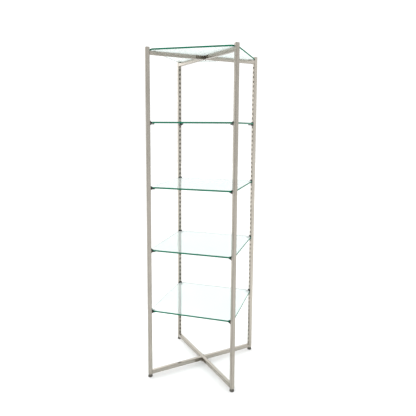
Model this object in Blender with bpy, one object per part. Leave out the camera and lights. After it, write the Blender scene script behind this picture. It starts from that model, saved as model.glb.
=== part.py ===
"""Glass shelving tower: two steel frames cross as an X and carry five square glass panes.

The through frame runs from the rear left upright to the front right one. The other frame is in two
halves, each hinged to the middle of the through frame, so that the empty tower folds flat.
Metres, +Z up, origin on the floor under the middle of the tower, front towards -Y.
"""

import math

import bmesh
import bpy
from mathutils import Matrix

# Clearance between pieces that touch
SEAT_GAP = 0.0003

# Square steel tube of the uprights and bars
TUBE_SIDE = 0.01905
TUBE_WALL = 0.0016
TUBE_CORNER_RADIUS = 0.0016
TUBE_CORNER_STEPS = 3

# Plan and heights of the frame
UPRIGHT_SPACING = 0.4526
UPRIGHT_LENGTH = 1.7125
FOOT_HEIGHT = 0.0155
TIP_ABOVE_BAR = 0.01905

# Row of slots in the inward face of each upright
SLOT_PITCH = 0.0254
SLOT_HEIGHT = 0.0127
SLOT_WIDTH = 0.00635
SLOT_TO_BAR = 0.0105

# End caps and foot sockets in the tube ends
CAP_THICKNESS = 0.002
CAP_CHAMFER = 0.0008
CAP_SPIGOT_LENGTH = 0.012
CAP_SPIGOT_WALL = 0.002
SOCKET_LENGTH = 0.026

# Levelling feet: round glides that widen towards the floor
FOOT_TOP_RADIUS = 0.0092
FOOT_BOTTOM_RADIUS = 0.0122
FOOT_RIM_HEIGHT = 0.0055
FOOT_EDGE = 0.0012
STEM_RADIUS = 0.004
STEM_LENGTH = 0.032
FOOT_SIDES = 20

# Hand slot in the top wall of the front left bottom bar
BAR_SLOT_LENGTH = 0.022
BAR_SLOT_WIDTH = 0.00635
BAR_SLOT_FROM_CENTRE = 0.147

# Butt hinges at the crossing
LEAF_LENGTH = 0.042
LEAF_MARGIN = 0.001275
LEAF_THICKNESS = 0.0015
LEAF_CLEARANCE = 0.0006
KNUCKLE_RADIUS = 0.003
KNUCKLE_SIDES = 16
PIN_RADIUS = 0.0013
PIN_HEAD_RADIUS = 0.0026
PIN_HEAD_HEIGHT = 0.0012
PIN_TAIL = 0.0045

# Glass: its edges lie inside the lines of the upright axes, its corners are clipped short of the uprights
GLASS_EDGE_INSET = 0.0005
GLASS_CORNER_GAP = 0.008
GLASS_THICKNESS = 0.008
GLASS_ARRIS = 0.0006
SHELF_COUNT = 4
SLOTS_PER_SHELF = 13

# Bumper pads under the top pane
PAD_RADIUS = 0.005
PAD_HEIGHT = 0.0025
PAD_CROWN = 0.0009
PAD_FROM_UPRIGHT = 0.028
PAD_SIDES = 16

# Shelf brackets, hooked into the slots
BRACKET_WIDTH = 0.023
BRACKET_PLATE = 0.002
LEDGE_THICKNESS = 0.0055
LEDGE_BEARING = 0.013
LEDGE_DROP = 0.0087
PLATE_ABOVE_NECK = 0.003
NECK_PLAY = 0.0017
HOOK_THICKNESS = 0.0025
HOOK_DROP = 0.004
RIB_DEPTH = 0.003
RIB_SETBACK = 0.005

# Finishes: colour, roughness, metallic
FINISHES = {
    "satin_nickel": ((0.56, 0.53, 0.48), 0.34, 1.0),
    "clip_steel": ((0.30, 0.30, 0.29), 0.35, 1.0),
    "hinge_steel": ((0.34, 0.32, 0.28), 0.38, 1.0),
    "clear_glass": ((0.82, 0.95, 0.90), 0.02, 0.0),
    "black_plastic": ((0.03, 0.03, 0.028), 0.5, 0.0),
    "dark_rubber": ((0.05, 0.05, 0.05), 0.75, 0.0),
}

# Places that follow from the sizes above
HALF_TUBE = TUBE_SIDE / 2
UPRIGHT_RADIUS = UPRIGHT_SPACING / math.sqrt(2)
INNER_FACE_RADIUS = UPRIGHT_RADIUS - HALF_TUBE
TUBE_BOTTOM = FOOT_HEIGHT
TUBE_TOP = TUBE_BOTTOM + UPRIGHT_LENGTH
UPRIGHT_TIP = TUBE_TOP + CAP_THICKNESS
BOTTOM_BAR_MIDDLE = TUBE_BOTTOM + HALF_TUBE
TOP_BAR_TOP = UPRIGHT_TIP - TIP_ABOVE_BAR
TOP_BAR_MIDDLE = TOP_BAR_TOP - HALF_TUBE
FIRST_SLOT = TUBE_SIDE + SLOT_TO_BAR
SLOT_ROOM = TOP_BAR_MIDDLE - HALF_TUBE - TUBE_BOTTOM - FIRST_SLOT - SLOT_TO_BAR
SLOT_COUNT = math.floor(SLOT_ROOM / SLOT_PITCH) + 1
BORE_SIDE = TUBE_SIDE - 2 * TUBE_WALL
LEAF_HEIGHT = TUBE_SIDE - 2 * LEAF_MARGIN
HINGE_OFFSET = KNUCKLE_RADIUS + SEAT_GAP
HINGE_PLACE = HALF_TUBE + HINGE_OFFSET
TOP_GLASS_BOTTOM = TOP_BAR_TOP + PAD_HEIGHT + 2 * SEAT_GAP
GLASS_SIDE = UPRIGHT_SPACING - 2 * GLASS_EDGE_INSET
GLASS_CLIP = GLASS_SIDE - math.sqrt(2) * (INNER_FACE_RADIUS - GLASS_CORNER_GAP)
# The ledge reaches under the glass, and the hook goes in through the slot with some play
LEDGE_LENGTH = GLASS_CORNER_GAP + LEDGE_BEARING
RIB_LENGTH = LEDGE_LENGTH - RIB_SETBACK
NECK_HEIGHT = SLOT_HEIGHT - HOOK_DROP - NECK_PLAY

# Direction from the middle of the tower to each upright
CORNERS = {
    "front_right": math.radians(315),
    "rear_right": math.radians(45),
    "rear_left": math.radians(135),
    "front_left": math.radians(225),
}
# Each half of the split frame folds about its own hinge line beside the crossing
FOLDING = {"front_left": "front", "rear_right": "rear"}
LEVELS = {"top": TOP_BAR_MIDDLE, "bottom": BOTTOM_BAR_MIDDLE}


def clear_scene():
    for old in list(bpy.data.objects):
        bpy.data.objects.remove(old, do_unlink=True)


def make_material(name):
    colour, roughness, metallic = FINISHES[name]
    material = bpy.data.materials.new(name)
    material.use_nodes = True
    shader = material.node_tree.nodes["Principled BSDF"]
    shader.inputs["Base Color"].default_value = (*colour, 1.0)
    shader.inputs["Roughness"].default_value = roughness
    shader.inputs["Metallic"].default_value = metallic
    if name == "clear_glass":
        shader.inputs["Transmission Weight"].default_value = 1.0
    return material


def finish_mesh(bm, name, smooth=False):
    """Turn a bmesh into mesh data with outward faces, shaded smooth where it is round."""
    bmesh.ops.recalc_face_normals(bm, faces=bm.faces)
    mesh = bpy.data.meshes.new(name)
    bm.to_mesh(mesh)
    bm.free()
    if smooth:
        mesh.shade_smooth()
        mesh.set_sharp_from_angle(angle=math.radians(35))
    return mesh


def extruded(outline, low, high, name):
    """Prism over a closed outline of (x, y) points, from z = low to z = high."""
    bm = bmesh.new()
    face = bm.faces.new([bm.verts.new((x, y, low)) for x, y in outline])
    grown = bmesh.ops.extrude_face_region(bm, geom=[face])
    top = [item for item in grown["geom"] if isinstance(item, bmesh.types.BMVert)]
    bmesh.ops.translate(bm, verts=top, vec=(0, 0, high - low))
    return finish_mesh(bm, name)


def side_profile(outline, width, name):
    """Prism over an outline of (x, z) points, of the given width along y."""
    mesh = extruded(outline, -width / 2, width / 2, name)
    mesh.transform(Matrix.Rotation(math.pi / 2, 4, "X"))
    return mesh


def turned(profile, sides, name):
    """Solid of revolution about z from (radius, z) points that start and end on the axis."""
    bm = bmesh.new()
    rings = []
    for radius, z in profile:
        if radius == 0:
            rings.append([bm.verts.new((0, 0, z))])
            continue
        angles = [2 * math.pi * (i + 0.5) / sides for i in range(sides)]
        rings.append([bm.verts.new((radius * math.cos(t), radius * math.sin(t), z)) for t in angles])
    for lower, upper in zip(rings, rings[1:]):
        for i in range(sides):
            corners = [lower[i % len(lower)], lower[(i + 1) % len(lower)]]
            corners += [upper[(i + 1) % len(upper)], upper[i % len(upper)]]
            bm.faces.new(list(dict.fromkeys(corners)))
    return finish_mesh(bm, name, smooth=True)


def box_outline(x_low, x_high, y_low, y_high):
    return [(x_low, y_low), (x_high, y_low), (x_high, y_high), (x_low, y_high)]


def rounded_square(side, radius, steps):
    """Outline of a square with round corners, anticlockwise."""
    middle = side / 2 - radius
    points = []
    for quarter in range(4):
        turn = quarter * math.pi / 2
        cx = middle * math.sqrt(2) * math.cos(turn + math.pi / 4)
        cy = middle * math.sqrt(2) * math.sin(turn + math.pi / 4)
        for step in range(steps + 1):
            angle = turn + step / steps * math.pi / 2
            points.append((cx + radius * math.cos(angle), cy + radius * math.sin(angle)))
    return points


def combined(name, base, joined=(), cut=(), smooth=False):
    """Mesh of the base with the joined meshes added and the cut meshes removed."""
    helpers = [bpy.data.objects.new(name + "_base", base)]
    bpy.context.collection.objects.link(helpers[0])
    for operation, others in (("UNION", joined), ("DIFFERENCE", cut)):
        for other in others:
            helper = bpy.data.objects.new(name + "_tool", other)
            bpy.context.collection.objects.link(helper)
            helpers.append(helper)
            step = helpers[0].modifiers.new(operation.lower(), "BOOLEAN")
            step.operation = operation
            step.solver = "EXACT"
            step.object = helper
    graph = bpy.context.evaluated_depsgraph_get()
    mesh = bpy.data.meshes.new_from_object(helpers[0].evaluated_get(graph))
    for helper in helpers:
        bpy.data.objects.remove(helper, do_unlink=True)
    mesh.name = name
    if smooth:
        mesh.shade_smooth()
        mesh.set_sharp_from_angle(angle=math.radians(35))
    return mesh


def tube_mesh(length, name, cutters=()):
    """Hollow square tube standing on z = 0, with the cutters taken out of its walls."""
    outer = extruded(rounded_square(TUBE_SIDE, TUBE_CORNER_RADIUS, TUBE_CORNER_STEPS), 0, length, name)
    half_bore = BORE_SIDE / 2
    bore = extruded(box_outline(-half_bore, half_bore, -half_bore, half_bore),
                    -TUBE_WALL, length + TUBE_WALL, name + "_bore")
    return combined(name, outer, cut=[bore, *cutters], smooth=True)


def slot_row_mesh():
    """Cutter for the whole row of slots, through the -X wall of a standing tube."""
    bm = bmesh.new()
    for index in range(SLOT_COUNT):
        size = Matrix.Diagonal((3 * TUBE_WALL, SLOT_WIDTH, SLOT_HEIGHT, 1))
        place = Matrix.Translation((-HALF_TUBE + TUBE_WALL / 2, 0, FIRST_SLOT + index * SLOT_PITCH))
        bmesh.ops.create_cube(bm, size=1, matrix=place @ size)
    return finish_mesh(bm, "slot_row")


def bar_slot_mesh(from_end):
    """Cutter for one lengthwise slot in the +X wall of a tube."""
    mesh = extruded(box_outline(HALF_TUBE - 2 * TUBE_WALL, HALF_TUBE + TUBE_WALL,
                                -BAR_SLOT_WIDTH / 2, BAR_SLOT_WIDTH / 2),
                    from_end - BAR_SLOT_LENGTH / 2, from_end + BAR_SLOT_LENGTH / 2, "bar_slot")
    return mesh


def end_cap_mesh():
    """Chamfered plate over the tube end with a hollow spigot, its plate's underside at z = 0."""
    radius = TUBE_CORNER_RADIUS
    outline = rounded_square(TUBE_SIDE, radius, TUBE_CORNER_STEPS)
    bm = bmesh.new()
    rings = []
    shrink = (TUBE_SIDE - 2 * CAP_CHAMFER) / TUBE_SIDE
    for z, scale in ((SEAT_GAP, 1), (CAP_THICKNESS - CAP_CHAMFER, 1), (CAP_THICKNESS, shrink)):
        rings.append([bm.verts.new((x * scale, y * scale, z)) for x, y in outline])
    for lower, upper in zip(rings, rings[1:]):
        for i in range(len(outline)):
            j = (i + 1) % len(outline)
            bm.faces.new((lower[i], lower[j], upper[j], upper[i]))
    bm.faces.new(rings[0])
    bm.faces.new(rings[-1])
    plate = finish_mesh(bm, "cap_plate")
    half = BORE_SIDE / 2 - SEAT_GAP
    inner = half - CAP_SPIGOT_WALL
    spigot = extruded(box_outline(-half, half, -half, half), -CAP_SPIGOT_LENGTH, CAP_THICKNESS / 2, "cap_spigot")
    hollow = extruded(box_outline(-inner, inner, -inner, inner), -2 * CAP_SPIGOT_LENGTH, 0, "cap_hollow")
    return combined("end_cap", plate, joined=[spigot], cut=[hollow])


def foot_socket_mesh():
    """Plug inside the lower tube end, bored for the foot's stem, from z = 0 up."""
    half = BORE_SIDE / 2 - SEAT_GAP
    plug = extruded(box_outline(-half, half, -half, half), 0, SOCKET_LENGTH, "socket_plug")
    radius = STEM_RADIUS + SEAT_GAP
    reach = 2 * SOCKET_LENGTH
    bore = turned([(0, -reach), (radius, -reach), (radius, reach), (0, reach)], FOOT_SIDES, "socket_bore")
    return combined("foot_socket", plug, cut=[bore], smooth=True)


def levelling_foot_mesh():
    """Flared glide with its threaded stem, its sole at z = 0."""
    shoulder = FOOT_HEIGHT - SEAT_GAP
    profile = [
        (0, 0),
        (FOOT_BOTTOM_RADIUS - FOOT_EDGE, 0),
        (FOOT_BOTTOM_RADIUS, FOOT_EDGE),
        (FOOT_BOTTOM_RADIUS, FOOT_RIM_HEIGHT),
        (FOOT_TOP_RADIUS, shoulder - FOOT_EDGE),
        (FOOT_TOP_RADIUS - FOOT_EDGE, shoulder),
        (STEM_RADIUS, shoulder),
        (STEM_RADIUS, shoulder + STEM_LENGTH - FOOT_EDGE),
        (STEM_RADIUS - FOOT_EDGE, shoulder + STEM_LENGTH),
        (0, shoulder + STEM_LENGTH),
    ]
    return turned(profile, FOOT_SIDES, "levelling_foot")


def glass_pane_mesh():
    """Square pane with clipped corners and ground edges, its underside at z = 0."""
    rings = []
    bm = bmesh.new()
    levels = ((0, GLASS_ARRIS), (GLASS_ARRIS, 0),
              (GLASS_THICKNESS - GLASS_ARRIS, 0), (GLASS_THICKNESS, GLASS_ARRIS))
    for z, inset in levels:
        edge = GLASS_SIDE / 2 - inset
        # The clip's face draws in by the same amount as the straight edges
        start = GLASS_SIDE / 2 - GLASS_CLIP - inset * (math.sqrt(2) - 1)
        signs = ((1, 1), (-1, 1), (-1, -1), (1, -1))
        ring = []
        for sx, sy in signs:
            pair = [(sx * edge, sy * start), (sx * start, sy * edge)]
            ring += pair if sx == sy else pair[::-1]
        rings.append([bm.verts.new((x, y, z)) for x, y in ring])
    for lower, upper in zip(rings, rings[1:]):
        for i in range(len(lower)):
            j = (i + 1) % len(lower)
            bm.faces.new((lower[i], lower[j], upper[j], upper[i]))
    bm.faces.new(rings[0])
    bm.faces.new(rings[-1])
    return finish_mesh(bm, "glass_pane")


def glass_pad_mesh():
    """Round bumper with a crowned top, its underside at z = 0."""
    profile = [
        (0, 0),
        (PAD_RADIUS, 0),
        (PAD_RADIUS, PAD_HEIGHT - PAD_CROWN),
        (PAD_RADIUS - PAD_CROWN, PAD_HEIGHT),
        (0, PAD_HEIGHT),
    ]
    return turned(profile, PAD_SIDES, "glass_pad")


def shelf_bracket_mesh():
    """Clip that hooks into one slot: +X runs inwards from the upright's face, z = 0 at the slot's middle."""
    slot_floor = -SLOT_HEIGHT / 2 + SEAT_GAP
    neck_top = slot_floor + NECK_HEIGHT
    plate_top = neck_top + PLATE_ABOVE_NECK
    ledge_top = -LEDGE_DROP
    ledge_bottom = ledge_top - LEDGE_THICKNESS
    foot = ledge_bottom - RIB_DEPTH
    back = SEAT_GAP
    front = back + BRACKET_PLATE
    angle_outline = [(back, foot), (front, foot), (front, ledge_bottom), (LEDGE_LENGTH, ledge_bottom),
                     (LEDGE_LENGTH, ledge_top), (front, ledge_top), (front, plate_top), (back, plate_top)]
    angle = side_profile(angle_outline, BRACKET_WIDTH, "bracket_angle")
    wall_back = -TUBE_WALL - SEAT_GAP
    hook_back = wall_back - HOOK_THICKNESS
    middle = (back + front) / 2
    ledge_middle = (ledge_bottom + ledge_top) / 2
    hook_outline = [(middle, slot_floor), (middle, neck_top), (hook_back, neck_top),
                    (hook_back, slot_floor - HOOK_DROP), (wall_back, slot_floor - HOOK_DROP),
                    (wall_back, slot_floor)]
    blade_width = SLOT_WIDTH - 2 * SEAT_GAP
    hook = side_profile(hook_outline, blade_width, "bracket_hook")
    rib_outline = [(middle, foot + BRACKET_PLATE / 2), (front, foot + BRACKET_PLATE / 2),
                   (RIB_LENGTH, ledge_middle), (middle, ledge_middle)]
    rib = side_profile(rib_outline, blade_width, "bracket_rib")
    return combined("shelf_bracket", angle, joined=[hook, rib])


def knuckle_spans():
    """Heights of the half leaf's middle knuckle and of the through leaf's two end knuckles."""
    third = LEAF_HEIGHT / 3
    edge = third / 2
    gap = SEAT_GAP / 2
    middle = [(-edge + gap, edge - gap)]
    ends = [(-LEAF_HEIGHT / 2, -edge - gap), (edge + gap, LEAF_HEIGHT / 2)]
    return middle, ends


def hinge_leaf_mesh(name, spans):
    """Hinge leaf along +X on a face at y = -HINGE_OFFSET, with knuckles about the z axis."""
    low = -KNUCKLE_RADIUS
    high = low + LEAF_THICKNESS
    root = KNUCKLE_RADIUS + LEAF_CLEARANCE
    plate = extruded(box_outline(root, LEAF_LENGTH, low, high), -LEAF_HEIGHT / 2, LEAF_HEIGHT / 2, name)
    joined = []
    for bottom, top in spans:
        joined.append(extruded(box_outline(0, root + LEAF_THICKNESS, low, high), bottom, top, "tab"))
        radius = KNUCKLE_RADIUS
        joined.append(turned([(0, bottom), (radius, bottom), (radius, top), (0, top)], KNUCKLE_SIDES, "knuckle"))
    bore_radius = PIN_RADIUS + SEAT_GAP
    reach = LEAF_HEIGHT
    bore = turned([(0, -reach), (bore_radius, -reach), (bore_radius, reach), (0, reach)],
                  KNUCKLE_SIDES, "pin_bore")
    return combined(name, plate, joined=joined, cut=[bore], smooth=True)


def through_leaf_mesh(spans):
    """The other leaf: the same shape, mirrored so that it runs along +Y."""
    mesh = hinge_leaf_mesh("hinge_through_leaf", spans)
    mesh.transform(Matrix(((0, 1, 0, 0), (1, 0, 0, 0), (0, 0, 1, 0), (0, 0, 0, 1))))
    mesh.flip_normals()
    return mesh


def hinge_pin_mesh():
    """Headed pin about the z axis that hangs a little below the lowest knuckle."""
    head = LEAF_HEIGHT / 2 + SEAT_GAP
    tail = -LEAF_HEIGHT / 2 - PIN_TAIL
    profile = [
        (0, tail),
        (PIN_HEAD_RADIUS, tail),
        (PIN_HEAD_RADIUS, tail + PIN_TAIL - SEAT_GAP),
        (PIN_RADIUS, tail + PIN_TAIL - SEAT_GAP),
        (PIN_RADIUS, head),
        (PIN_HEAD_RADIUS, head),
        (PIN_HEAD_RADIUS, head + PIN_HEAD_HEIGHT),
        (0, head + PIN_HEAD_HEIGHT),
    ]
    return turned(profile, KNUCKLE_SIDES, "hinge_pin")


def add_empty(name, location):
    empty = bpy.data.objects.new(name, None)
    empty.location = location
    bpy.context.collection.objects.link(empty)
    return empty


def add_object(name, mesh, material, location, turn=Matrix.Identity(4), parent=None):
    """Place a mesh in the world at the location, turned by a rotation matrix, under a parent empty."""
    obj = bpy.data.objects.new(name, mesh)
    bpy.context.collection.objects.link(obj)
    if not mesh.materials:
        mesh.materials.append(material)
    obj.matrix_world = Matrix.Translation(location) @ turn
    if parent:
        obj.parent = parent
        obj.matrix_parent_inverse = Matrix.Translation(parent.location).inverted()
    return obj


def about_z(angle):
    return Matrix.Rotation(angle, 4, "Z")


def along_bar(angle):
    """Turn a standing tube to lie along the direction, with its +X wall on top."""
    return about_z(angle) @ Matrix.Rotation(math.pi / 2, 4, "Y") @ Matrix.Rotation(math.pi, 4, "Z")


def polar(radius, angle, z):
    return (radius * math.cos(angle), radius * math.sin(angle), z)


def hinge_line(angle, z):
    """Point on the hinge line of the half frame that runs along the angle."""
    x, y = HINGE_PLACE, HINGE_PLACE
    return (x * math.cos(angle) - y * math.sin(angle), x * math.sin(angle) + y * math.cos(angle), z)


def build_uprights(materials, folds):
    upright = tube_mesh(UPRIGHT_LENGTH, "upright", [slot_row_mesh()])
    cap = end_cap_mesh()
    socket = foot_socket_mesh()
    foot = levelling_foot_mesh()
    for corner, angle in CORNERS.items():
        parent = folds.get(corner)
        turn = about_z(angle)
        nickel = materials["satin_nickel"]
        plastic = materials["black_plastic"]
        at_bottom = polar(UPRIGHT_RADIUS, angle, TUBE_BOTTOM)
        at_top = polar(UPRIGHT_RADIUS, angle, TUBE_TOP)
        on_floor = polar(UPRIGHT_RADIUS, angle, 0)
        add_object("upright_" + corner, upright, nickel, at_bottom, turn, parent)
        add_object("end_cap_" + corner, cap, nickel, at_top, turn, parent)
        add_object("foot_socket_" + corner, socket, plastic, at_bottom, turn, parent)
        add_object("levelling_foot_" + corner, foot, plastic, on_floor, turn, parent)


def build_bars(materials, folds):
    nickel = materials["satin_nickel"]
    reach = INNER_FACE_RADIUS - SEAT_GAP
    through = tube_mesh(2 * reach, "through_bar")
    inner = HALF_TUBE + SEAT_GAP
    half = tube_mesh(reach - inner, "half_bar")
    slotted = tube_mesh(reach - inner, "slotted_half_bar", [bar_slot_mesh(BAR_SLOT_FROM_CENTRE - inner)])
    for level, z in LEVELS.items():
        angle = CORNERS["front_right"]
        add_object(level + "_through_bar", through, nickel, polar(-reach, angle, z), along_bar(angle))
        for corner, fold in folds.items():
            angle = CORNERS[corner]
            has_slot = level == "bottom" and corner == "front_left"
            mesh = slotted if has_slot else half
            name = f"{level}_half_bar_{corner}"
            add_object(name, mesh, nickel, polar(inner, angle, z), along_bar(angle), fold)


def build_hinges(materials, folds):
    steel = materials["hinge_steel"]
    middle, ends = knuckle_spans()
    half_leaf = hinge_leaf_mesh("hinge_half_leaf", middle)
    through_leaf = through_leaf_mesh(ends)
    pin = hinge_pin_mesh()
    for level, z in LEVELS.items():
        for corner, side in FOLDING.items():
            angle = CORNERS[corner]
            place = hinge_line(angle, z)
            turn = about_z(angle)
            add_object(f"{level}_hinge_half_leaf_{side}", half_leaf, steel, place, turn, folds[corner])
            add_object(f"{level}_hinge_through_leaf_{side}", through_leaf, steel, place, turn)
            add_object(f"{level}_hinge_pin_{side}", pin, steel, place, turn)


def build_glass(materials, folds):
    pane = glass_pane_mesh()
    pad = glass_pad_mesh()
    glass = materials["clear_glass"]
    add_object("top_glass", pane, glass, (0, 0, TOP_GLASS_BOTTOM))
    pad_radius = INNER_FACE_RADIUS - PAD_FROM_UPRIGHT
    for corner, angle in CORNERS.items():
        place = polar(pad_radius, angle, TOP_BAR_TOP + SEAT_GAP)
        add_object("glass_pad_" + corner, pad, materials["dark_rubber"], place, about_z(angle), folds.get(corner))
    bracket = shelf_bracket_mesh()
    for shelf in range(1, SHELF_COUNT + 1):
        # Shelf 1 is the highest
        slot = (SHELF_COUNT + 1 - shelf) * SLOTS_PER_SHELF
        slot_middle = TUBE_BOTTOM + FIRST_SLOT + slot * SLOT_PITCH
        underside = slot_middle - LEDGE_DROP + SEAT_GAP
        add_object(f"glass_shelf_{shelf}", pane, glass, (0, 0, underside))
        for corner, angle in CORNERS.items():
            place = polar(INNER_FACE_RADIUS, angle, slot_middle)
            name = f"shelf_bracket_{shelf}_{corner}"
            add_object(name, bracket, materials["clip_steel"], place, about_z(angle + math.pi), folds.get(corner))


def main():
    clear_scene()
    materials = {name: make_material(name) for name in FINISHES}
    folds = {}
    for corner, side in FOLDING.items():
        folds[corner] = add_empty(f"fold_line_{side}", hinge_line(CORNERS[corner], 0))
    build_uprights(materials, folds)
    build_bars(materials, folds)
    build_hinges(materials, folds)
    build_glass(materials, folds)


main()
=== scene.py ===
"""Looks of the glass shelving tower: finishes, small fittings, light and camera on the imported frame."""
import math

import bmesh
import bpy
from mathutils import Matrix, Vector


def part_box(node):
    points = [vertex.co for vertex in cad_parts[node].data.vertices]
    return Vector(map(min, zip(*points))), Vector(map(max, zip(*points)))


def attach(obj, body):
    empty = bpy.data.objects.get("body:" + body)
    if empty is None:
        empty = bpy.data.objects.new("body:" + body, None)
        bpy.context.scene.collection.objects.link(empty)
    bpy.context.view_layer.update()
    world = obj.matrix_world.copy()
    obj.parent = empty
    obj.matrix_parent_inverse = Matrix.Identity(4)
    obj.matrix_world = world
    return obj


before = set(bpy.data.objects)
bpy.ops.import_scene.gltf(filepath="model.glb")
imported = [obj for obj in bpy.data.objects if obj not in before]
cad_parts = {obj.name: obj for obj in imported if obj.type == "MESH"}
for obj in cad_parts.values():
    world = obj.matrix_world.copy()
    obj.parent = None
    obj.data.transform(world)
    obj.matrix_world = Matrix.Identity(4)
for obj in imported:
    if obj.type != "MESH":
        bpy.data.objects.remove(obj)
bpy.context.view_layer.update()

# Camera, in metres and degrees: it stands right of the middle and looks a little down
CAMERA_PLACE = (0.7041, -2.2774, 1.3432)
CAMERA_YAW = 16.641
CAMERA_PITCH = 7.315
CAMERA_ROLL = 0.415
CAMERA_LENS = 38.096
SENSOR_WIDTH = 36.0
CAMERA_SHIFT = -0.06

# Light of the room by height above the horizon: (sine of the height, brightness), and its bright side
ROOM_LIGHT = (
    (-1.0, 0.9),
    (0.0, 1.0),
    (0.12, 1.04),
    (0.24, 1.2),
    (0.36, 1.6),
    (0.5, 1.5),
    (0.7, 1.35),
    (1.0, 1.15),
)
ROOM_PEAK = 2.0
BRIGHT_SIDE = math.radians(163)
SIDE_CONTRAST = 0.18
# Tall soft boxes beside the rear uprights: distance to the right, front end, rear end and brightness
SOFT_BOXES = ((0.6, -0.15, 0.5, 0.3), (-0.6, 0.15, 0.7, 0.7))
SOFT_BOX_HEIGHT = 1.9
SOFT_BOX_WATTS = 4.0
FLOOR_RADIUS = 14.0
FLOOR_SIDES = 96

# Sizes of the frame that the finishes and fittings follow
TUBE_CORNER_RADIUS = 0.0016
WELD_LEG = 0.0012
WELD_RIPPLES = 7
WELD_STEPS = 56
LEAF_FACE_DEPTH = 0.0015
SCREW_PLACES = (0.013, 0.033)
SCREW_PROFILE = (
    (0.0029, -0.0001),
    (0.0029, 0.0002),
    (0.0026, 0.00042),
    (0.0021, 0.00058),
    (0.00175, 0.00062),
)
SCREW_SIDES = 24
SOCKET_RADIUS = 0.0012
SOCKET_DEPTH = 0.0005
STEM_RADIUS = 0.004
THREAD_PITCH = 0.00125
THREAD_DEPTH = 0.00022
THREAD_ROOT = -0.0002
THREAD_STEPS = 20
CUT_EDGE = 0.0002
SMOOTH_ANGLE = math.radians(35)
MERGE_DISTANCE = 0.00001

CORNERS = ("front_left", "front_right", "rear_left", "rear_right")
LEVELS = ("top", "bottom")
FOLDING = {"front_left": "front", "rear_right": "rear"}
BODY_OF_CORNER = {
    "front_left": "front_left_frame",
    "front_right": "through_frame",
    "rear_left": "through_frame",
    "rear_right": "rear_right_frame",
}


def middle(node):
    low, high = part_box(node)
    return (low + high) / 2


FOOT_MIDDLE = middle("levelling_foot_front_right")
UPRIGHT_RADIUS = math.hypot(FOOT_MIDDLE.x, FOOT_MIDDLE.y)
BAR_LOW, BAR_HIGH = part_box("top_through_bar")
HALF_TUBE = (BAR_HIGH.z - BAR_LOW.z) / 2
TUBE_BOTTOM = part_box("upright_front_right")[0].z
BAR_MIDDLES = [middle(f"{level}_through_bar").z for level in LEVELS]


def add_node(tree, kind, inputs=None, **settings):
    """New shader node with its settings, and inputs set to a value or linked to a socket."""
    made = tree.nodes.new(kind)
    for key, value in settings.items():
        setattr(made, key, value)
    for key, value in (inputs or {}).items():
        if isinstance(value, bpy.types.NodeSocket):
            tree.links.new(value, made.inputs[key])
        else:
            made.inputs[key].default_value = value
    return made


def math_node(tree, operation, first, second=0.0):
    return add_node(tree, "ShaderNodeMath", {0: first, 1: second}, operation=operation).outputs[0]


def noise(tree, vector, scale, detail=3.0, roughness=0.55):
    inputs = {"Vector": vector, "Scale": scale, "Detail": detail, "Roughness": roughness}
    return add_node(tree, "ShaderNodeTexNoise", inputs).outputs["Fac"]


def remap(tree, value, to_low, to_high, from_low=0.3, from_high=0.7):
    inputs = {"Value": value, "From Min": from_low, "From Max": from_high}
    inputs |= {"To Min": to_low, "To Max": to_high}
    return add_node(tree, "ShaderNodeMapRange", inputs).outputs["Result"]


def mix_colour(tree, factor, first, second):
    inputs = {"Factor": factor, 6: first, 7: second}
    return add_node(tree, "ShaderNodeMix", inputs, data_type="RGBA").outputs[2]


def mix_value(tree, factor, first, second):
    inputs = {"Factor": factor, 2: first, 3: second}
    return add_node(tree, "ShaderNodeMix", inputs, data_type="FLOAT").outputs[0]


def opaque(colour):
    return (*colour, 1.0)


def new_material(name):
    material = bpy.data.materials.new(name)
    material.use_nodes = True
    tree = material.node_tree
    shader = tree.nodes["Principled BSDF"]
    place = add_node(tree, "ShaderNodeTexCoord").outputs["Object"]
    return material, tree, shader, place


def stretched(tree, place, turn, squeeze):
    """Coordinates turned about z and squeezed along one axis, so that noise runs out into a grain."""
    turned = add_node(tree, "ShaderNodeMapping", {"Vector": place, "Rotation": (0, 0, turn)}).outputs[0]
    return add_node(tree, "ShaderNodeMapping", {"Vector": turned, "Scale": squeeze}).outputs[0]


def bump(tree, shader, height, strength, distance):
    inputs = {"Strength": strength, "Distance": distance, "Height": height}
    made = add_node(tree, "ShaderNodeBump", inputs)
    tree.links.new(made.outputs[0], shader.inputs["Normal"])


def painted_shade_inside(tree, place, run):
    """Painted shade: 1 on the inner walls of the tubes and the walls of their slots, which are coloured
    dark as shade, 0 on the plated outside.
    """
    parts = add_node(tree, "ShaderNodeSeparateXYZ", {0: place}).outputs
    root = math.sqrt(0.5)
    if run == "upright":
        x = math_node(tree, "ABSOLUTE", parts["X"])
        y = math_node(tree, "ABSOLUTE", parts["Y"])
        along = math_node(tree, "MULTIPLY", math_node(tree, "ADD", x, y), root)
        first = math_node(tree, "ABSOLUTE", math_node(tree, "SUBTRACT", along, UPRIGHT_RADIUS))
        across = math_node(tree, "MULTIPLY", math_node(tree, "SUBTRACT", x, y), root)
        second = math_node(tree, "ABSOLUTE", across)
    else:
        square = "ADD" if run == "through_bar" else "SUBTRACT"
        across = math_node(tree, square, parts["X"], parts["Y"])
        first = math_node(tree, "ABSOLUTE", math_node(tree, "MULTIPLY", across, root))
        rises = [math_node(tree, "SUBTRACT", parts["Z"], height) for height in BAR_MIDDLES]
        second = math_node(tree, "MINIMUM", *[math_node(tree, "ABSOLUTE", rise) for rise in rises])
    farther = math_node(tree, "MAXIMUM", first, second)
    return math_node(tree, "LESS_THAN", farther, HALF_TUBE - CUT_EDGE)


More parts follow.
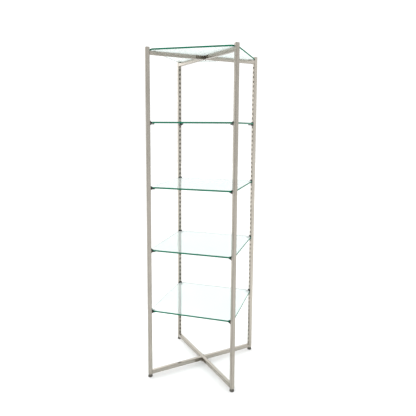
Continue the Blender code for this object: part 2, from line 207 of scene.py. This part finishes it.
def satin_nickel(name, turn, squeeze, run=None):
    """Warm grey plate with a brushed grain along the tube, and a dull dark colour painted as shade inside
    where it is open.
    """
    material, tree, shader, place = new_material(name)
    grain = noise(tree, stretched(tree, place, turn, squeeze), 1.0, 4.0)
    cloud = noise(tree, place, 9.0, 2.0)
    tone = remap(tree, mix_value(tree, 0.4, grain, cloud), 0.0, 1.0, 0.35, 0.65)
    colour = mix_colour(tree, tone, opaque((0.370, 0.343, 0.297)), opaque((0.440, 0.410, 0.362)))
    rough = remap(tree, grain, 0.28, 0.42)
    if run:
        inner = painted_shade_inside(tree, place, run)
        # painted shade: the inside of the tube and the cut walls of its slots take a near-black colour
        colour = mix_colour(tree, inner, colour, opaque((0.055, 0.042, 0.030)))
        rough = mix_value(tree, inner, rough, 0.75)
    tree.links.new(colour, shader.inputs["Base Color"])
    tree.links.new(rough, shader.inputs["Roughness"])
    shader.inputs["Metallic"].default_value = 1.0
    bump(tree, shader, grain, 0.06, 0.0004)
    return material


def plated_steel(name, dark, light, low_rough, high_rough, scale):
    """Plated sheet metal with fine mottling."""
    material, tree, shader, place = new_material(name)
    speckle = noise(tree, place, scale, 5.0)
    cloud = noise(tree, place, scale / 8, 2.0)
    colour = mix_colour(tree, remap(tree, cloud, 0.0, 1.0), opaque(dark), opaque(light))
    tree.links.new(colour, shader.inputs["Base Color"])
    tree.links.new(remap(tree, speckle, low_rough, high_rough), shader.inputs["Roughness"])
    shader.inputs["Metallic"].default_value = 1.0
    bump(tree, shader, speckle, 0.05, 0.0003)
    return material


def moulded(name, dark, light, low_rough, high_rough, scale, stem=False):
    """Moulded plastic or rubber with a fine grain and some dust, and a foot's bright steel stem."""
    material, tree, shader, place = new_material(name)
    grain = noise(tree, place, scale, 4.0)
    dust = noise(tree, place, scale / 10, 3.0)
    colour = mix_colour(tree, remap(tree, dust, 0.0, 1.0), opaque(dark), opaque(light))
    if stem:
        height = add_node(tree, "ShaderNodeSeparateXYZ", {0: place}).outputs["Z"]
        steel = math_node(tree, "GREATER_THAN", height, TUBE_BOTTOM - CUT_EDGE)
        colour = mix_colour(tree, steel, colour, opaque((0.42, 0.41, 0.38)))
        tree.links.new(steel, shader.inputs["Metallic"])
    tree.links.new(colour, shader.inputs["Base Color"])
    tree.links.new(remap(tree, grain, low_rough, high_rough), shader.inputs["Roughness"])
    bump(tree, shader, grain, 0.12, 0.0004)
    return material


def clear_glass(name, clean, dusty, refraction):
    """Float glass: faces whose outer side lets only about half the light through and shows their pale
    colour as a painted white reflection, and ground edges of a deep green.
    """
    material, tree, shader, place = new_material(name)
    surface = add_node(tree, "ShaderNodeNewGeometry").outputs
    rise = add_node(tree, "ShaderNodeSeparateXYZ", {0: surface["Normal"]}).outputs["Z"]
    upright = math_node(tree, "ABSOLUTE", rise)
    edge = remap(tree, upright, 1.0, 0.0, 0.75, 0.95)
    streak = noise(tree, stretched(tree, place, 0.0, (14.0, 14.0, 900.0)), 1.0, 3.0)
    depth = remap(tree, streak, 0.0, 1.0)
    green = mix_colour(tree, depth, opaque((0.004, 0.120, 0.066)), opaque((0.012, 0.180, 0.105)))
    smear = noise(tree, place, 2.5, 1.0)
    face = mix_colour(tree, remap(tree, smear, 0.0, 1.0), opaque(clean), opaque(dusty))
    tree.links.new(mix_colour(tree, edge, face, green), shader.inputs["Base Color"])
    face_rough = remap(tree, smear, 0.0, 0.008)
    tree.links.new(mix_value(tree, edge, face_rough, 0.4), shader.inputs["Roughness"])
    # painted reflection: the outer side of the faces passes only about half the light and shows its pale
    # colour instead, varying with the smears; from inside the faces are fully clear
    painted_reflection = remap(tree, smear, 0.54, 0.48)
    clear = mix_value(tree, surface["Backfacing"], painted_reflection, 1.0)
    tree.links.new(mix_value(tree, edge, clear, 0.0), shader.inputs["Transmission Weight"])
    shader.inputs["IOR"].default_value = refraction
    absorb = add_node(tree, "ShaderNodeVolumeAbsorption")
    absorb.inputs["Color"].default_value = opaque((0.30, 0.72, 0.62))
    absorb.inputs["Density"].default_value = 8.0
    output = tree.nodes["Material Output"]
    tree.links.new(absorb.outputs[0], output.inputs["Volume"])
    return material


def tidy_shading_group():
    """Node group that joins the split corners of a mesh again and shades it smooth up to an angle."""
    group = bpy.data.node_groups.new("tidy_shading", "GeometryNodeTree")
    group.interface.new_socket("Geometry", in_out="INPUT", socket_type="NodeSocketGeometry")
    group.interface.new_socket("Geometry", in_out="OUTPUT", socket_type="NodeSocketGeometry")
    start = group.nodes.new("NodeGroupInput")
    end = group.nodes.new("NodeGroupOutput")
    inputs = {"Geometry": start.outputs[0], "Distance": MERGE_DISTANCE}
    merge = add_node(group, "GeometryNodeMergeByDistance", inputs)
    angle = add_node(group, "GeometryNodeInputMeshEdgeAngle").outputs["Unsigned Angle"]
    sharp = add_node(group, "FunctionNodeCompare", {0: angle, 1: SMOOTH_ANGLE}, data_type="FLOAT")
    normals = add_node(group, "GeometryNodeSetMeshNormal", mode="SHARPNESS")
    group.links.new(merge.outputs[0], normals.inputs["Mesh"])
    group.links.new(sharp.outputs[0], normals.inputs["Edge Sharpness"])
    group.links.new(normals.outputs[0], end.inputs[0])
    return group


TIDY_SHADING = tidy_shading_group()


def tidy_shading(piece, bevel=0.0):
    """Smooth round surfaces and, where asked, break the sharp edges with a small bevel."""
    piece.modifiers.new("tidy_shading", "NODES").node_group = TIDY_SHADING
    if bevel:
        step = piece.modifiers.new("broken_edges", "BEVEL")
        step.width = bevel
        step.segments = 2
        step.limit_method = "ANGLE"
        step.angle_limit = SMOOTH_ANGLE
        step.harden_normals = True


def make_finishes():
    lengthwise = (1400.0, 1400.0, 30.0)
    along_bar = (30.0, 1400.0, 1400.0)
    eighth = math.radians(45)
    return {
        "upright": satin_nickel("satin_nickel_upright", 0.0, lengthwise, "upright"),
        "cap": satin_nickel("satin_nickel_cap", 0.0, lengthwise),
        "through_bar": satin_nickel("satin_nickel_through_bar", eighth, along_bar, "through_bar"),
        "half_bar": satin_nickel("satin_nickel_half_bar", -eighth, along_bar, "half_bar"),
        "bracket": moulded("clip_steel", (0.01, 0.01, 0.009), (0.022, 0.021, 0.019), 0.16, 0.32, 700.0),
        "hinge": plated_steel("hinge_steel", (0.17, 0.15, 0.12), (0.25, 0.225, 0.185), 0.3, 0.48, 600),
        "top_glass": clear_glass("clear_glass_top", (0.985, 1.0, 0.995), (0.95, 0.99, 0.98), 1.04),
        "shelf_glass": clear_glass("clear_glass_shelf", (0.77, 0.835, 0.83), (0.73, 0.805, 0.795), 1.2),
        "foot": moulded(
            "foot_plastic", (0.06, 0.057, 0.047), (0.11, 0.105, 0.088), 0.34, 0.55, 1100.0, stem=True
        ),
        "pad": moulded("pad_rubber", (0.10, 0.075, 0.055), (0.16, 0.125, 0.095), 0.55, 0.8, 900.0),
        "weld": satin_nickel("satin_nickel_weld", 0.0, (900.0, 900.0, 900.0)),
    }


# Words in a node's name, with the finish and the bevel that it takes
DRESSING = (
    ("glass_pad", "pad", 0.0),
    ("top_glass", "top_glass", 0.0),
    ("glass_shelf", "shelf_glass", 0.0),
    ("bracket", "bracket", 0.00025),
    ("hinge", "hinge", 0.0002),
    ("foot", "foot", 0.0),
    ("end_cap", "cap", 0.0),
    ("through_bar", "through_bar", 0.0),
    ("half_bar", "half_bar", 0.0),
    ("upright", "upright", 0.0),
)


def dress_nodes(finishes):
    for name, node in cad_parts.items():
        word, finish, bevel = next(row for row in DRESSING if row[0] in name)
        for slot in node.material_slots:
            slot.material = finishes[finish]
        tidy_shading(node, bevel)


def add_piece(name, bm, material, body):
    """New piece of the object from a bmesh, riding on a body with the finish of a slot."""
    bmesh.ops.recalc_face_normals(bm, faces=bm.faces)
    mesh = bpy.data.meshes.new(name)
    bm.to_mesh(mesh)
    bm.free()
    mesh.materials.append(material)
    mesh.shade_smooth()
    mesh.set_sharp_from_angle(angle=SMOOTH_ANGLE)
    piece = bpy.data.objects.new(name, mesh)
    bpy.context.scene.collection.objects.link(piece)
    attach(piece, body)
    return piece


def skin(bm, rings):
    """Closed surface through a row of loops that have the same number of points."""
    loops = [[bm.verts.new(point) for point in ring] for ring in rings]
    for first, second in zip(loops, loops[1:]):
        for index in range(len(first)):
            after = (index + 1) % len(first)
            bm.faces.new((first[index], first[after], second[after], second[index]))
    bm.faces.new(loops[0])
    bm.faces.new(loops[-1])


def weld_bead(bm, root, along, inward, upward):
    """Rippled fillet in the corner between an upright's inner face and a bar, centred on root."""
    length = 2 * (HALF_TUBE - TUBE_CORNER_RADIUS)
    rings = []
    for step in range(WELD_STEPS + 1):
        share = step / WELD_STEPS
        ripple = 1 + 0.14 * math.cos(2 * math.pi * WELD_RIPPLES * share)
        leg = WELD_LEG * ripple * min(1.0, 0.4 + 8 * share, 0.4 + 8 * (1 - share))
        spot = root + along * length * (share - 0.5)
        ring = [spot]
        for degrees in (0, 30, 60, 90):
            angle = math.radians(degrees)
            ring.append(spot + (inward * math.cos(angle) + upward * math.sin(angle)) * leg)
        rings.append(ring)
    skin(bm, rings)


def add_welds(material):
    """Beads over the bar ends, and under the top ones too."""
    up = Vector((0, 0, 1))
    for corner in CORNERS:
        foot = middle(f"levelling_foot_{corner}")
        outward = Vector((foot.x, foot.y, 0)).normalized()
        along = Vector((-outward.y, outward.x, 0))
        face = outward * (UPRIGHT_RADIUS - HALF_TUBE)
        bm = bmesh.new()
        for level in LEVELS:
            height = middle(f"{level}_through_bar").z
            weld_bead(bm, face + up * (height + HALF_TUBE), along, -outward, up)
            if level == "top":
                weld_bead(bm, face + up * (height - HALF_TUBE), along, -outward, -up)
        add_piece(f"welds_{corner}", bm, material, BODY_OF_CORNER[corner])


def screw_head(bm, spot, first, second, axis):
    """Low domed head with a hexagon socket, standing on spot along axis."""
    def ring(radius_at, height):
        turns = [2 * math.pi * side / SCREW_SIDES for side in range(SCREW_SIDES)]
        spokes = [first * math.cos(turn) + second * math.sin(turn) for turn in turns]
        reach = [spoke * radius_at(turn) for spoke, turn in zip(spokes, turns)]
        return [spot + arm + axis * height for arm in reach]

    def hexagon(turn):
        return SOCKET_RADIUS / math.cos(turn % (math.pi / 3) - math.pi / 6)

    rings = [ring(lambda turn: radius, height) for radius, height in SCREW_PROFILE]
    top = SCREW_PROFILE[-1][1]
    rings += [ring(hexagon, top), ring(hexagon, top - SOCKET_DEPTH)]
    skin(bm, rings)


def add_hinge_screws(material):
    """Two screws through each hinge leaf, top and bottom."""
    up = Vector((0, 0, 1))
    for corner, side in FOLDING.items():
        for leaf, body in (("half_leaf", BODY_OF_CORNER[corner]), ("through_leaf", "through_frame")):
            bm = bmesh.new()
            for level in LEVELS:
                pin = middle(f"{level}_hinge_pin_{side}")
                reach = middle(f"{level}_hinge_{leaf}_{side}") - pin
                along = Vector((math.copysign(1, reach.x), math.copysign(1, reach.y), 0)).normalized()
                outward = along.cross(up)
                outward *= math.copysign(1, outward.dot(pin.xy.to_3d()))
                for distance in SCREW_PLACES:
                    spot = pin + along * distance - outward * LEAF_FACE_DEPTH
                    screw_head(bm, spot, along, up, outward)
            add_piece(f"hinge_screws_{leaf}_{side}", bm, material, body)


def add_stem_threads(material):
    """Screw thread round the stem of each foot."""
    profile = ((THREAD_ROOT, -0.45), (THREAD_DEPTH, -0.06), (THREAD_DEPTH, 0.06), (THREAD_ROOT, 0.45))
    for corner in CORNERS:
        foot = f"levelling_foot_{corner}"
        axis = middle(foot)
        low = TUBE_BOTTOM + THREAD_PITCH
        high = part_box(foot)[1].z - THREAD_PITCH
        steps = int((high - low) / THREAD_PITCH * THREAD_STEPS)
        rings = []
        for step in range(steps + 1):
            turn = 2 * math.pi * step / THREAD_STEPS
            spoke = Vector((math.cos(turn), math.sin(turn), 0))
            height = low + THREAD_PITCH * step / THREAD_STEPS
            ring = []
            for radius, rise in profile:
                point = spoke * (STEM_RADIUS + radius)
                ring.append(Vector((axis.x + point.x, axis.y + point.y, height + rise * THREAD_PITCH)))
            rings.append(ring)
        bm = bmesh.new()
        skin(bm, rings)
        add_piece(f"stem_thread_{corner}", bm, material, f"foot_{corner}")


def look_along(yaw, pitch, roll):
    """Camera rotation from degrees: yaw to the left, pitch downwards, roll about the line of sight."""
    turn = Matrix.Rotation(math.radians(yaw), 4, "Z")
    turn = turn @ Matrix.Rotation(math.radians(90 - pitch), 4, "X")
    return turn @ Matrix.Rotation(math.radians(roll), 4, "Z")


def make_camera():
    data = bpy.data.cameras.new("camera")
    data.lens = CAMERA_LENS
    data.sensor_width = SENSOR_WIDTH
    data.shift_y = CAMERA_SHIFT
    camera = bpy.data.objects.new("camera", data)
    turn = look_along(CAMERA_YAW, CAMERA_PITCH, CAMERA_ROLL)
    camera.matrix_world = Matrix.Translation(CAMERA_PLACE) @ turn
    bpy.context.scene.collection.objects.link(camera)
    bpy.context.scene.camera = camera


def make_room():
    """White studio: soft light from all round, brightest a little above the horizon."""
    world = bpy.data.worlds.new("studio")
    world.use_nodes = True
    tree = world.node_tree
    direction = add_node(tree, "ShaderNodeTexCoord").outputs["Generated"]
    height = add_node(tree, "ShaderNodeSeparateXYZ", {0: direction}).outputs["Z"]
    share = remap(tree, height, 0.0, 1.0, -1.0, 1.0)
    ramp = add_node(tree, "ShaderNodeValToRGB", {"Fac": share})
    stops = ramp.color_ramp.elements
    for sine, brightness in ROOM_LIGHT:
        ends = {-1.0: stops[0], 1.0: stops[-1]}
        stop = ends[sine] if sine in ends else stops.new((sine + 1) / 2)
        stop.color = opaque([brightness / ROOM_PEAK] * 3)
    bright_side = (math.cos(BRIGHT_SIDE), math.sin(BRIGHT_SIDE), 0.0)
    inputs = {0: direction, 1: bright_side}
    lean = add_node(tree, "ShaderNodeVectorMath", inputs, operation="DOT_PRODUCT").outputs["Value"]
    side = math_node(tree, "ADD", math_node(tree, "MULTIPLY", lean, SIDE_CONTRAST), 1.0)
    background = tree.nodes["Background"]
    tree.links.new(ramp.outputs["Color"], background.inputs["Color"])
    tree.links.new(math_node(tree, "MULTIPLY", side, ROOM_PEAK), background.inputs["Strength"])
    bpy.context.scene.world = world


def make_soft_boxes():
    for number, (across, front, rear, glow) in enumerate(SOFT_BOXES, 1):
        data = bpy.data.lights.new(f"soft_box_{number}", "AREA")
        data.shape = "RECTANGLE"
        data.size = SOFT_BOX_HEIGHT
        data.size_y = rear - front
        data.energy = SOFT_BOX_WATTS * glow * data.size * data.size_y
        box = bpy.data.objects.new(data.name, data)
        place = Matrix.Translation((across, (front + rear) / 2, SOFT_BOX_HEIGHT / 2))
        box.matrix_world = place @ Matrix.Rotation(math.copysign(math.pi / 2, across), 4, "Y")
        box.visible_camera = False
        box.visible_transmission = False
        bpy.context.scene.collection.objects.link(box)


def make_floor():
    bm = bmesh.new()
    bmesh.ops.create_circle(bm, cap_ends=True, segments=FLOOR_SIDES, radius=FLOOR_RADIUS)
    mesh = bpy.data.meshes.new("floor")
    bm.to_mesh(mesh)
    bm.free()
    material, tree, shader, place = new_material("pale_floor")
    cloud = noise(tree, place, 1.5, 2.0)
    colour = mix_colour(tree, cloud, opaque((0.93, 0.93, 0.93)), opaque((0.96, 0.96, 0.96)))
    tree.links.new(colour, shader.inputs["Base Color"])
    shader.inputs["Roughness"].default_value = 0.9
    mesh.materials.append(material)
    floor = bpy.data.objects.new("floor", mesh)
    bpy.context.scene.collection.objects.link(floor)


bpy.context.scene.view_settings.view_transform = "Standard"
finishes = make_finishes()
dress_nodes(finishes)
add_welds(finishes["weld"])
add_hinge_screws(finishes["hinge"])
add_stem_threads(finishes["foot"])
make_camera()
make_room()
make_soft_boxes()
make_floor()
